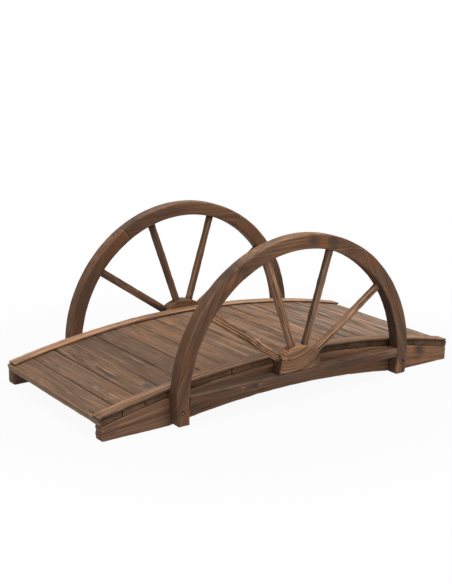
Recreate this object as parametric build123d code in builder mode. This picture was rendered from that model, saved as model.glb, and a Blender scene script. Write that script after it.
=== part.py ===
"""Arched wooden garden bridge with a half wagon wheel as the rail on each side."""

import os
from math import asin, cos, degrees, hypot, radians, sin, tan

from build123d import *

# Millimetres and degrees. X runs along the bridge, Y across it, Z up; the feet stand on Z = 0.
bridge_length = 1500.0
deck_width = 676.0

# Stringers: an arched top edge that carries the deck, and an arch cut out below between two flat feet.
stringer_thickness = 40.0
stringer_end_height = 48.0
stringer_edge_round = 3.0
deck_rise = 87.0
arch_span = 1000.0
arch_rise = 39.5

# Deck boards, laid across the stringers side by side.
plank_count = 18
plank_thickness = 23.0
plank_gap = 1.6
plank_edge_round = 1.6

# Thin strips bent along both edges of the deck, over the ends of the boards.
strip_width = 48.0
strip_thickness = 8.0
strip_end_setback = 2.0
strip_edge_bevel = 1.5

# Half wheels: a rim in three segments with a leg below each end, a rail, a hub and four spokes.
wheel_thickness = 46.0
wheel_centre_height = 76.7
rim_outer_radius = 502.0
rim_width = 51.0
rim_edge_bevel = 4.0
rim_joint_angle = 58.0
leg_blend_angle = 12.0
leg_foot_width = 42.0
leg_foot_height = 7.0
leg_corner_round = 5.0

rail_bottom_height = 74.0
rail_depth = 32.0
rail_edge_round = 3.0

hub_base_width = 184.0
hub_radius = 117.0
hub_side_slope = 12.0
hub_edge_bevel = 2.0

spoke_width = 28.5
spoke_thickness = 14.0
spoke_edge_round = 3.0
spoke_start_share = 0.35

# Direction of each spoke above the rail's line, and how far above the wheel's centre it aims.
lower_spoke_angle = 34.3
left_upper_spoke_angle = 70.3
right_upper_spoke_angle = 73.0
lower_spoke_lift = 29.5
left_upper_spoke_lift = 45.0
right_upper_spoke_lift = 4.0

# Values that follow from the sizes above.
half_length = bridge_length / 2
deck_half_width = deck_width / 2
arch_half_span = arch_span / 2
stringer_crown_height = stringer_end_height + deck_rise
deck_radius = (half_length**2 + deck_rise**2) / (2 * deck_rise)
deck_centre_height = stringer_crown_height - deck_radius
deck_half_angle = degrees(asin(half_length / deck_radius))
plank_step_angle = 2 * deck_half_angle / plank_count
plank_width = 2 * deck_radius * tan(radians(plank_step_angle / 2)) - plank_gap
strip_inner_radius = hypot(deck_radius + plank_thickness, plank_width / 2 - plank_edge_round)
strip_outer_radius = strip_inner_radius + strip_thickness
strip_half_angle = deck_half_angle - degrees(strip_end_setback / strip_inner_radius)
rim_inner_radius = rim_outer_radius - rim_width
rail_top_height = rail_bottom_height + rail_depth
hub_half_base = hub_base_width / 2
hub_side_run = tan(radians(hub_side_slope))

os.makedirs("parts", exist_ok=True)


def on_circle(radius, centre_height, angle):
    """Point of a circle about the middle of the bridge, with the angle measured from X towards Z."""
    return (radius * cos(radians(angle)), centre_height + radius * sin(radians(angle)))


# Stringers
for side, first_face in (("front", deck_half_width - stringer_thickness), ("back", -deck_half_width)):
    with BuildPart() as stringer:
        with BuildSketch(Plane.XZ.offset(first_face)):
            with BuildLine():
                Polyline((-half_length, stringer_end_height), (-half_length, 0), (-arch_half_span, 0))
                ThreePointArc((-arch_half_span, 0), (0, arch_rise), (arch_half_span, 0))
                Polyline((arch_half_span, 0), (half_length, 0), (half_length, stringer_end_height))
                ThreePointArc(
                    (half_length, stringer_end_height),
                    (0, stringer_crown_height),
                    (-half_length, stringer_end_height),
                )
            make_face()
        extrude(amount=stringer_thickness)
        end_faces = stringer.faces().filter_by(Axis.X)
        fillet(end_faces.edges().filter_by(Axis.Z), stringer_edge_round)
    stringer.part.label = f"stringer_{side}"
    export_step(stringer.part, f"parts/stringer_{side}.step")

# Deck boards, each flat on the arched stringers
for number in range(plank_count):
    lean = (number + 1 / 2) * plank_step_angle - deck_half_angle
    seat_x, seat_z = on_circle(deck_radius, deck_centre_height, 90 - lean)
    seat = Plane(
        origin=(seat_x, 0, seat_z),
        x_dir=(cos(radians(lean)), 0, -sin(radians(lean))),
        z_dir=(sin(radians(lean)), 0, cos(radians(lean))),
    )
    with BuildPart(seat) as plank:
        Box(plank_width, deck_width, plank_thickness, align=(Align.CENTER, Align.CENTER, Align.MIN))
        board_edges = plank.edges().filter_by(Axis.Y)
        upper_edges = board_edges.sort_by_distance((0, 0, deck_centre_height))[-2:]
        fillet(upper_edges, plank_edge_round)
    plank.part.label = f"deck_plank_{number + 1:02d}"
    export_step(plank.part, f"parts/deck_plank_{number + 1:02d}.step")

# Edge strips, bent to the deck's arch
for side, first_face in (("front", deck_half_width - strip_width), ("back", -deck_half_width)):
    with BuildPart() as strip:
        with BuildSketch(Plane.XZ.offset(first_face)):
            with BuildLine():
                lower_curve = ThreePointArc(
                    on_circle(strip_inner_radius, deck_centre_height, 90 + strip_half_angle),
                    on_circle(strip_inner_radius, deck_centre_height, 90),
                    on_circle(strip_inner_radius, deck_centre_height, 90 - strip_half_angle),
                )
                upper_curve = ThreePointArc(
                    on_circle(strip_outer_radius, deck_centre_height, 90 + strip_half_angle),
                    on_circle(strip_outer_radius, deck_centre_height, 90),
                    on_circle(strip_outer_radius, deck_centre_height, 90 - strip_half_angle),
                )
                Line(lower_curve @ 0, upper_curve @ 0)
                Line(lower_curve @ 1, upper_curve @ 1)
            make_face()
        extrude(amount=strip_width)
        bent_faces = strip.faces().filter_by(GeomType.CYLINDER).sort_by(Axis.Z)
        chamfer(bent_faces[-1].edges().filter_by(GeomType.CIRCLE), strip_edge_bevel)
    strip.part.label = f"edge_strip_{side}"
    export_step(strip.part, f"parts/edge_strip_{side}.step")

# Outline of the hub, also used to trim the spokes that meet it
with BuildSketch() as hub_outline:
    with BuildLine():
        Polyline(
            (-hub_half_base, rail_top_height),
            (hub_half_base, rail_top_height),
            (hub_half_base - hub_radius * hub_side_run, rail_top_height + hub_radius),
            (-hub_half_base + hub_radius * hub_side_run, rail_top_height + hub_radius),
            close=True,
        )
    make_face()
    with Locations((0, wheel_centre_height)):
        Circle(hub_radius, mode=Mode.INTERSECT)

# Half wheels
for side, first_face in (("front", deck_half_width), ("back", -deck_half_width - wheel_thickness)):
    wheel_plane = Plane.XZ.offset(first_face)

    for end, turn in (("left", -1), ("right", 1)):
        leg_inner = turn * rim_inner_radius
        leg_outer = turn * (rim_inner_radius + leg_foot_width)
        outer_start = on_circle(rim_outer_radius, wheel_centre_height, leg_blend_angle)
        outer_middle = on_circle(rim_outer_radius, wheel_centre_height, (leg_blend_angle + rim_joint_angle) / 2)
        outer_end = on_circle(rim_outer_radius, wheel_centre_height, rim_joint_angle)
        inner_middle = on_circle(rim_inner_radius, wheel_centre_height, rim_joint_angle / 2)
        inner_end = on_circle(rim_inner_radius, wheel_centre_height, rim_joint_angle)
        with BuildPart() as rim:
            with BuildSketch(wheel_plane):
                with BuildLine():
                    rim_curve = ThreePointArc(
                        (turn * outer_end[0], outer_end[1]),
                        (turn * outer_middle[0], outer_middle[1]),
                        (turn * outer_start[0], outer_start[1]),
                    )
                    TangentArc(rim_curve @ 1, (leg_outer, leg_foot_height), tangent=rim_curve % 1)
                    Polyline(
                        (leg_outer, leg_foot_height),
                        (leg_inner, leg_foot_height),
                        (leg_inner, wheel_centre_height),
                    )
                    ThreePointArc(
                        (leg_inner, wheel_centre_height),
                        (turn * inner_middle[0], inner_middle[1]),
                        (turn * inner_end[0], inner_end[1]),
                    )
                    Line((turn * inner_end[0], inner_end[1]), rim_curve @ 0)
                make_face()
            extrude(amount=wheel_thickness)
            foot_face = rim.faces().sort_by(Axis.Z)[0]
            fillet(foot_face.edges().filter_by(Axis.Y), leg_corner_round)
            joint_edges = rim.faces().sort_by(Axis.Z)[-1].edges()
            outline_edges = rim.faces().filter_by(Axis.Y).edges()
            chamfer(outline_edges.filter_by(lambda edge: edge not in joint_edges), rim_edge_bevel)
        rim.part.label = f"wheel_{side}_rim_{end}"
        export_step(rim.part, f"parts/wheel_{side}_rim_{end}.step")

    with BuildPart() as rim_top:
        with BuildSketch(wheel_plane):
            with BuildLine():
                outer_curve = ThreePointArc(
                    on_circle(rim_outer_radius, wheel_centre_height, 180 - rim_joint_angle),
                    on_circle(rim_outer_radius, wheel_centre_height, 90),
                    on_circle(rim_outer_radius, wheel_centre_height, rim_joint_angle),
                )
                inner_curve = ThreePointArc(
                    on_circle(rim_inner_radius, wheel_centre_height, 180 - rim_joint_angle),
                    on_circle(rim_inner_radius, wheel_centre_height, 90),
                    on_circle(rim_inner_radius, wheel_centre_height, rim_joint_angle),
                )
                Line(outer_curve @ 0, inner_curve @ 0)
                Line(outer_curve @ 1, inner_curve @ 1)
            make_face()
        extrude(amount=wheel_thickness)
        chamfer(rim_top.edges().filter_by(GeomType.CIRCLE), rim_edge_bevel)
    rim_top.part.label = f"wheel_{side}_rim_top"
    export_step(rim_top.part, f"parts/wheel_{side}_rim_top.step")

    with BuildPart() as rail:
        with BuildSketch(wheel_plane):
            with Locations((0, rail_bottom_height)):
                Rectangle(2 * rim_outer_radius, rail_depth, align=(Align.CENTER, Align.MIN))
            with Locations((0, wheel_centre_height)):
                Circle(rim_inner_radius, mode=Mode.INTERSECT)
        extrude(amount=wheel_thickness)
        fillet(rail.edges().filter_by(Axis.X), rail_edge_round)
    rail.part.label = f"wheel_{side}_rail"
    export_step(rail.part, f"parts/wheel_{side}_rail.step")

    with BuildPart() as hub:
        with BuildSketch(wheel_plane):
            add(hub_outline.sketch)
        extrude(amount=wheel_thickness)
        hub_crown = hub.faces().filter_by(GeomType.CYLINDER).sort_by(Axis.Z)[-1]
        chamfer(hub_crown.edges().filter_by(GeomType.CIRCLE), hub_edge_bevel)
    hub.part.label = f"wheel_{side}_hub"
    export_step(hub.part, f"parts/wheel_{side}_hub.step")

    spoke_lines = (
        (180 - lower_spoke_angle, lower_spoke_lift),
        (180 - left_upper_spoke_angle, left_upper_spoke_lift),
        (right_upper_spoke_angle, right_upper_spoke_lift),
        (lower_spoke_angle, lower_spoke_lift),
    )
    for number, (angle, lift) in enumerate(spoke_lines, start=1):
        start_x, start_z = on_circle(spoke_start_share * hub_radius, wheel_centre_height + lift, angle)
        with BuildPart() as spoke:
            with BuildSketch(wheel_plane.offset((wheel_thickness - spoke_thickness) / 2)):
                with Locations(Location((start_x, start_z, 0), (0, 0, angle))):
                    Rectangle(rim_outer_radius, spoke_width, align=(Align.MIN, Align.CENTER))
                with Locations((0, wheel_centre_height)):
                    Circle(rim_inner_radius, mode=Mode.INTERSECT)
                add(hub_outline.sketch, mode=Mode.SUBTRACT)
            extrude(amount=spoke_thickness)
            fillet(spoke.edges().sort_by(SortBy.LENGTH)[-4:], spoke_edge_round)
        spoke.part.label = f"wheel_{side}_spoke_{number}"
        export_step(spoke.part, f"parts/wheel_{side}_spoke_{number}.step")
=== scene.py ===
"""Looks for the arched wooden garden bridge: timbers with worn edges, grain, knots and splits."""

import math
from functools import partial

import bpy
import numpy as np
from mathutils import Matrix, Vector


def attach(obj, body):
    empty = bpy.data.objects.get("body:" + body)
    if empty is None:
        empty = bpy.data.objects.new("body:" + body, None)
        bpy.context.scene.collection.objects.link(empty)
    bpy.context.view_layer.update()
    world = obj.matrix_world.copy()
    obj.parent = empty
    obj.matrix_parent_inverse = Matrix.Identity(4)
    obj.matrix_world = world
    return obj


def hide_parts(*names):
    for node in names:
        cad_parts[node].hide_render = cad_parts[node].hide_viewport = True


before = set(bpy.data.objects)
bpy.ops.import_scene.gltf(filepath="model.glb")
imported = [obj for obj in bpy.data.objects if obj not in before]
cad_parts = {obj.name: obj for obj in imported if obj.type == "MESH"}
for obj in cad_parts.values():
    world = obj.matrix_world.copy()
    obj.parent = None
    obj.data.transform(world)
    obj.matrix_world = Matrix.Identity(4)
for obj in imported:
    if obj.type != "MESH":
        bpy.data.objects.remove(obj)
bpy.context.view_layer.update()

IMAGE_WIDTH, IMAGE_HEIGHT = 452, 584

# Sizes of the bridge in metres, as in the solids.
HALF_LENGTH = 0.750
HALF_WIDTH = 0.338
STRINGER_THICK = 0.040
STRINGER_END = 0.048
DECK_RISE = 0.087
ARCH_HALF = 0.500
ARCH_RISE = 0.0395
PLANKS = 18
PLANK_THICK = 0.023
PLANK_GAP = 0.0016
PLANK_ROUND = 0.0016
STRIP_WIDE = 0.048
STRIP_THICK = 0.008
STRIP_SETBACK = 0.002
WHEEL_THICK = 0.046
WHEEL_HEIGHT = 0.0767
RIM_OUTER = 0.502
RIM_INNER = 0.451
RIM_JOINT = math.radians(58)
LEG_BLEND = math.radians(12)
LEG_FOOT_WIDE = 0.042
LEG_FOOT_HIGH = 0.007
RAIL_LOW = 0.074
RAIL_DEEP = 0.032
HUB_HALF = 0.092
HUB_RADIUS = 0.117
HUB_SLOPE = math.tan(math.radians(12))
SPOKE_WIDE, SPOKE_THICK = 0.0285, 0.014
SPOKE_INTO_HUB, SPOKE_INTO_RIM = 0.014, 0.003
# Each spoke's angle in degrees, and the height above the wheel's centre that its line starts from.
SPOKES = ((145.7, 0.0295), (109.7, 0.045), (73.0, 0.004), (34.3, 0.0295))
BOLT_X, BOLT_Z = 0.476, 0.051

DECK_RADIUS = (HALF_LENGTH**2 + DECK_RISE**2) / (2 * DECK_RISE)
DECK_CENTRE = STRINGER_END + DECK_RISE - DECK_RADIUS
DECK_ANGLE = math.asin(HALF_LENGTH / DECK_RADIUS)
PLANK_STEP = 2 * DECK_ANGLE / PLANKS
PLANK_WIDE = 2 * DECK_RADIUS * math.tan(PLANK_STEP / 2) - PLANK_GAP
STRIP_RADIUS = math.hypot(DECK_RADIUS + PLANK_THICK, PLANK_WIDE / 2 - PLANK_ROUND)
STRIP_ANGLE = DECK_ANGLE - STRIP_SETBACK / STRIP_RADIUS
ARCH_RADIUS = (ARCH_HALF**2 + ARCH_RISE**2) / (2 * ARCH_RISE)
WHEEL_MIDDLE = HALF_WIDTH + WHEEL_THICK / 2
RIM_WIDE = RIM_OUTER - RIM_INNER
RAIL_TOP = RAIL_LOW + RAIL_DEEP


# Camera.

def add_object(name, data):
    """A new object in the scene."""
    piece = bpy.data.objects.new(name, data)
    bpy.context.scene.collection.objects.link(piece)
    return piece


def towards(azimuth, elevation):
    """The way from the bridge to a camera or lamp, from two angles in degrees."""
    turn, rise = math.radians(azimuth), math.radians(elevation)
    return Vector((math.sin(turn) * math.cos(rise), -math.cos(turn) * math.cos(rise), math.sin(rise)))


def place_camera():
    """The photograph's view, fitted to the bridge's corners and wheel outlines."""
    focal_pixels, distance = 1121.52, 4.04859
    azimuth, elevation, roll = -35.26, 14.70, math.radians(0.48)
    target = Vector((-0.04308, 0.0, 0.30571))
    back = towards(azimuth, elevation)
    level = towards(azimuth + 90, 0)
    above = back.cross(level)
    right = math.cos(roll) * level + math.sin(roll) * above
    up = -math.sin(roll) * level + math.cos(roll) * above
    eye = target + back * distance
    data = bpy.data.cameras.new("camera")
    data.sensor_fit = "AUTO"
    data.sensor_width = 36.0
    data.lens = focal_pixels * data.sensor_width / max(IMAGE_WIDTH, IMAGE_HEIGHT)
    data.clip_start, data.clip_end = 0.05, 60.0
    camera = add_object("camera", data)
    camera.matrix_world = Matrix((*zip(right, up, back, eye), (0, 0, 0, 1)))
    bpy.context.scene.camera = camera


place_camera()


# Noise.

def hashed(cell, seed):
    """A repeatable number from -1 to 1 for each whole-numbered cell."""
    mix = cell[:, 0] * 374761393 + cell[:, 1] * 668265263 + cell[:, 2] * 1274126177 + seed * 974634557
    mix = (mix & 0xFFFFFFFF).astype(np.uint64)
    mix = ((mix ^ (mix >> np.uint64(15))) * np.uint64(2246822519)) & np.uint64(0xFFFFFFFF)
    mix = ((mix ^ (mix >> np.uint64(13))) * np.uint64(3266489917)) & np.uint64(0xFFFFFFFF)
    mix = mix ^ (mix >> np.uint64(16))
    return mix.astype(float) / 0x7FFFFFFF - 1.0


def noise(points, scale, seed):
    """Smooth noise from -1 to 1 at points (N, 3), with a scale for each axis in cells a metre."""
    scaled = points * np.asarray(scale, float)
    base = np.floor(scaled).astype(np.int64)
    part = scaled - base
    part = part * part * (3 - 2 * part)
    total = np.zeros(len(points))
    for corner in np.ndindex(2, 2, 2):
        share = np.prod(np.where(corner, part, 1 - part), axis=1)
        total += share * hashed(base + np.array(corner), seed)
    return total


# Timber.

# Cuts in a rounded edge, in shares of its radius, and beside a split, in shares of its width.
EDGE_CUTS = np.array([0.0, 0.16, 0.42, 1.0])
SPLIT_CUTS = np.array([-2.2, -1.2, -0.5, 0.0, 0.5, 1.2, 2.2])
SAME_PLACE = 1e-5
# Heights and depths of the unevenness that every timber has, and how far from an edge its wear reaches.
SWELL, RIDGE, EDGE_LOSS, MOST_LIFT = 0.0006, 0.00022, 0.0007, 0.0009
WORN_REACH, CHIP_REACH = 0.0045, 0.004
SPLIT_WANDER = 0.0016
KNOT_STRETCH = np.array([1.5, 1.0, 1.6])
KNOT_BULGE, KNOT_DIP = 0.0007, 0.0009
NO_KNOT = 6.0
# Kinds of mark: the dirt mark darkens for real dirt and also for painted shade; scuff pales; warm reddens.
DIRT_AND_SHADE, SCUFF, WARM = "dirt", "scuff", "warm"
MARK_DEPTH, MARK_REACH, MARK_RAGGED = 0.02, 1.25, 0.30


def stations(half, count, low, high, extra):
    """Places along one side of a block: close together in the rounded edges, even between them."""
    middle = np.linspace(low - half, half - high, count)
    edges = [EDGE_CUTS * low - half, half - EDGE_CUTS * high]
    places = np.sort(np.concatenate([*edges, middle, np.asarray(extra, float)]))
    return places[np.concatenate([[True], np.diff(places) > SAME_PLACE])]


def shell(u, v, w):
    """Points and quads of the surface of a block cut at the given places."""
    size = (len(u), len(v), len(w))
    i, j, k = np.indices(size)
    outside = (i % (size[0] - 1) == 0) | (j % (size[1] - 1) == 0) | (k % (size[2] - 1) == 0)
    number = np.full(size, -1)
    number[outside] = np.arange(outside.sum())
    points = np.stack([u[i[outside]], v[j[outside]], w[k[outside]]], axis=1)
    quads = []
    for axis in range(3):
        for end in (0, -1):
            side = np.take(number, end, axis=axis)
            a, b, c, d = side[:-1, :-1], side[:-1, 1:], side[1:, 1:], side[1:, :-1]
            turn = (axis == 1) ^ (end == -1)
            order = (a, d, c, b) if turn else (a, b, c, d)
            quads.append(np.stack([x.ravel() for x in order], axis=1))
    return points, np.concatenate(quads)


def add_mesh(name, points, quads, attributes):
    """A smooth mesh object, with its faces turned outwards."""
    a, b, c, d = (points[quads[:, n]] for n in range(4))
    volume = np.einsum("ij,ij->", a, np.cross(b, c)) + np.einsum("ij,ij->", a, np.cross(c, d))
    if volume < 0:
        quads = quads[:, ::-1]
    mesh = bpy.data.meshes.new(name)
    mesh.from_pydata(points.tolist(), [], quads.tolist())
    mesh.polygons.foreach_set("use_smooth", np.ones(len(quads), bool))
    for key, values in attributes.items():
        values = np.asarray(values, np.float32)
        kind, field = ("FLOAT_VECTOR", "vector") if values.ndim == 2 else ("FLOAT", "value")
        mesh.attributes.new(key, kind, "POINT").data.foreach_set(field, values.ravel())
    mesh.update()
    return add_object(name, mesh)


def timber(node, slot, size, counts, place, seed, *, edge, pith, wood=None, ends=None, tight=(0, 0),
           snug=(0, 0), tilt=0.0, knots=(), splits=(), pits=(), marks=(), grain=None, tone=1.0, warm=0.0,
           wear=1.0, chips=0.0025, rough_end=0.0012, end_dark=0.55, end_draw=1.0, shape=None, figure=None,
           extra=((), (), ())):
    """One timber: a block of size (along, across, thick) with rounded, chipped edges, put in its place.

    edge and ends: radii of the long edges, and of the two ends where they differ.
    tight and snug: distances that keep wear off the two ends and the two long sides.
    pith and tilt: how far the block's middle lies from the tree's, and the slope between them.
    knots: (along, across, thick, radius). splits: (side, middle, width, depth, from, to) on a wide face.
    pits: (along, across, side, radius, depth), round recesses on a wide face.
    marks: (kind, strength, along, across, thick, three radii), where kind is DIRT_AND_SHADE for dirt and
    painted shade,
    SCUFF or WARM, and the last radius is MARK_DEPTH if it is left out.
    """
    rng = np.random.default_rng(seed)
    half = np.array(size) / 2
    low, high = (np.array([end, edge, edge]) for end in (ends or (edge, edge)))
    cuts = [list(places) for places in extra]
    for _, middle, width, _, _, _ in splits:
        cuts[1].extend(middle + width * SPLIT_CUTS)
    local, quads = shell(*(stations(half[n], counts[n], low[n], high[n], cuts[n]) for n in range(3)))
    core = np.clip(local, low - half, half - high)
    radius = np.where(local < 0, low, high)
    out = (local - core) / radius
    out /= np.linalg.norm(out, axis=1, keepdims=True)
    inset = half - np.abs(local)
    inset[:, 0] += np.where(local[:, 0] < 0, *tight)
    inset[:, 1] += np.where(local[:, 1] < 0, *snug)
    to_edge = np.sort(inset, axis=1)[:, 1]
    points = core + out * radius

    # Uneven surface: a slow swell, ridges along the grain and chips out of the edges.
    worn = np.exp(-((to_edge / WORN_REACH) ** 2))
    lift = SWELL * noise(local, (9, 30, 30), seed) + RIDGE * noise(local, (7, 420, 420), seed + 1)
    chip = np.clip(noise(local, (34, 60, 60), seed + 2) - 0.25, 0, 1) ** 1.5
    lift -= chips * chip * np.exp(-((to_edge / CHIP_REACH) ** 2))
    lift -= EDGE_LOSS * worn * (1 + noise(local, (50, 20, 20), seed + 3))
    at_end = np.abs(out[:, 0]) > 0.7
    lift = np.where(at_end, np.minimum(lift, 0), lift)
    lift += np.where(at_end, rough_end * (noise(local, (40, 170, 170), seed + 4) - 0.6), 0)
    points += out * np.minimum(lift, MOST_LIFT)[:, None]

    # Dark end grain, splits, recesses and knots.
    dark = np.where(at_end, end_dark * (0.85 + 0.25 * noise(local, (30, 60, 60), seed + 5)), 0)
    for side, middle, width, depth, start, stop in splits:
        run = (local[:, 0] - start) / (stop - start)
        taper = np.clip(np.minimum(run, 1 - run) * 5, 0, 1)
        taper *= 0.8 + 0.35 * noise(local, (60, 1, 1), seed + 8)
        groove = np.exp(-(((local[:, 1] - middle) / width) ** 2)) * taper * (out[:, 2] * side > 0.6)
        points[:, 2] -= side * depth * groove
        dark = np.maximum(dark, np.sqrt(groove))
        wander = SPLIT_WANDER * noise(local * np.array([1, 0, 0]), (14, 1, 1), seed + 6)
        points[:, 1] += wander * np.clip(1 - (local[:, 1] / half[1]) ** 2, 0, 1)
    for along, across, side, pit_radius, depth in pits:
        reach = np.hypot(local[:, 0] - along, local[:, 1] - across) / pit_radius
        hole = np.clip((1.12 - reach) / 0.24, 0, 1) * (out[:, 2] * side > 0.6)
        points[:, 2] -= side * depth * hole
        dark = np.maximum(dark, 0.9 * hole)
    ring = np.full(len(local), NO_KNOT)
    for along, across, thick, knot_radius in knots:
        offset = (local - np.array([along, across, thick])) / (knot_radius * KNOT_STRETCH)
        distance = np.linalg.norm(offset, axis=1)
        ring = np.minimum(ring, distance)
        bulge = KNOT_BULGE * np.exp(-(distance**2)) - KNOT_DIP * np.exp(-((distance / 0.35) ** 2))
        points += out * bulge[:, None]

    casts = {DIRT_AND_SHADE: np.zeros(len(local)), SCUFF: np.zeros(len(local))}
    casts[WARM] = np.full(len(local), float(warm))
    ragged = MARK_RAGGED * noise(local, (40, 70, 70), seed + 9)
    for kind, strength, along, across, thick, *reach in marks:
        reach = np.array([*reach, MARK_DEPTH][:3])
        offset = np.linalg.norm((local - np.array([along, across, thick])) / reach, axis=1)
        casts[kind] += strength * np.clip(MARK_REACH - (offset + ragged), 0, 1)
    if shape:
        points = shape(points, local)

    fibre = local.copy() if grain is None else grain(local, place(local))
    fibre[:, 2] += tilt * fibre[:, 0]
    fibre[:, 1] *= np.where(at_end, end_draw, 1.0)
    fibre = fibre + np.array([rng.uniform(0, 40), *pith])
    attributes = {
        "wood": fibre,
        "tone": np.full(len(local), tone),
        "wear": np.clip(wear * worn * (0.65 + 0.6 * noise(local, (24, 40, 40), seed + 7)), 0, 1),
        "dark": np.clip(dark, 0, 1),
        "knot": ring,
        "figure": np.ones(len(local)) if figure is None else figure(local),
        **casts,
    }
    piece = add_mesh(node + "_timber", place(points), quads, attributes)
    piece.data.materials.append(woods[wood or slot])
    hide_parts(node)
    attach(piece, "root")


# Materials.

class Nodes:
    """Short calls for the node tree of a material or world."""

    def __init__(self, owner):
        owner.use_nodes = True
        self.owner = owner
        self.tree = owner.node_tree

    def put(self, socket, value):
        if isinstance(value, bpy.types.NodeSocket):
            self.tree.links.new(value, socket)
        else:
            socket.default_value = value

    def add(self, kind, *values, **settings):
        """A new node, with its inputs filled in order."""
        node = self.tree.nodes.new("ShaderNode" + kind)
        for key, value in settings.items():
            setattr(node, key, value)
        for socket, value in zip(node.inputs, values):
            self.put(socket, value)
        return node

    def shade(self, name, value):
        """Set or link one input of the material's shader."""
        self.put(self.tree.nodes["Principled BSDF"].inputs[name], value)

    def attribute(self, name, field="Fac"):
        return self.add("Attribute", attribute_name=name).outputs[field]

    def math(self, operation, *values):
        return self.add("Math", *values, operation=operation).outputs[0]

    def vector(self, operation, *values):
        node = self.add("VectorMath", *values, operation=operation)
        return node.outputs["Value" if operation == "LENGTH" else "Vector"]

    def noise(self, place, scale, detail=2.0, rough=0.55, field=0):
        scaled = self.vector("MULTIPLY", place, scale)
        return self.add("TexNoise", scaled, 0.0, 1.0, detail, rough).outputs[field]

    def spread(self, value, low, high, to_low=0.0, to_high=1.0, kind="SMOOTHSTEP"):
        node = self.add("MapRange", value, low, high, to_low, to_high, interpolation_type=kind)
        return node.outputs[0]

    def mix(self, share, first, second, blend="MIX"):
        node = self.add("Mix", data_type="RGBA", blend_type=blend)
        for index, value in ((0, share), (6, first), (7, second)):
            self.put(node.inputs[index], value)
        return node.outputs[2]

    def ramp(self, share, stops):
        node = self.add("ValToRGB", share)
        steps = node.color_ramp.elements
        for number, (place, shade) in enumerate(stops):
            step = steps[number] if number < 2 else steps.new(place)
            step.position, step.color = place, shade
        return node.outputs[0]

    def bump(self, height, strength, distance):
        node = self.add("Bump")
        node.inputs["Strength"].default_value = strength
        node.inputs["Distance"].default_value = distance
        self.put(node.inputs["Height"], height)
        self.shade("Normal", node.outputs[0])


def colour(tint):
    """A display colour, with levels from 0 to 255, as the shader's linear one."""
    shares = [level / 255 for level in tint]
    return (*(s / 12.92 if s <= 0.04045 else ((s + 0.055) / 1.055) ** 2.4 for s in shares), 1.0)


FIBRE_SHARE = 0.45
SHADE_STOPS = (0.20, 0.42, 0.62, 0.86)
# The dirt tint is used for real dirt and for painted shade alike.
LINE_TINT, DIRT_AND_SHADE_TINT, SPLIT_TINT = (40, 27, 19), (54, 44, 36), (36, 25, 18)
BLOOM_TINT = (96, 78, 66)


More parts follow.
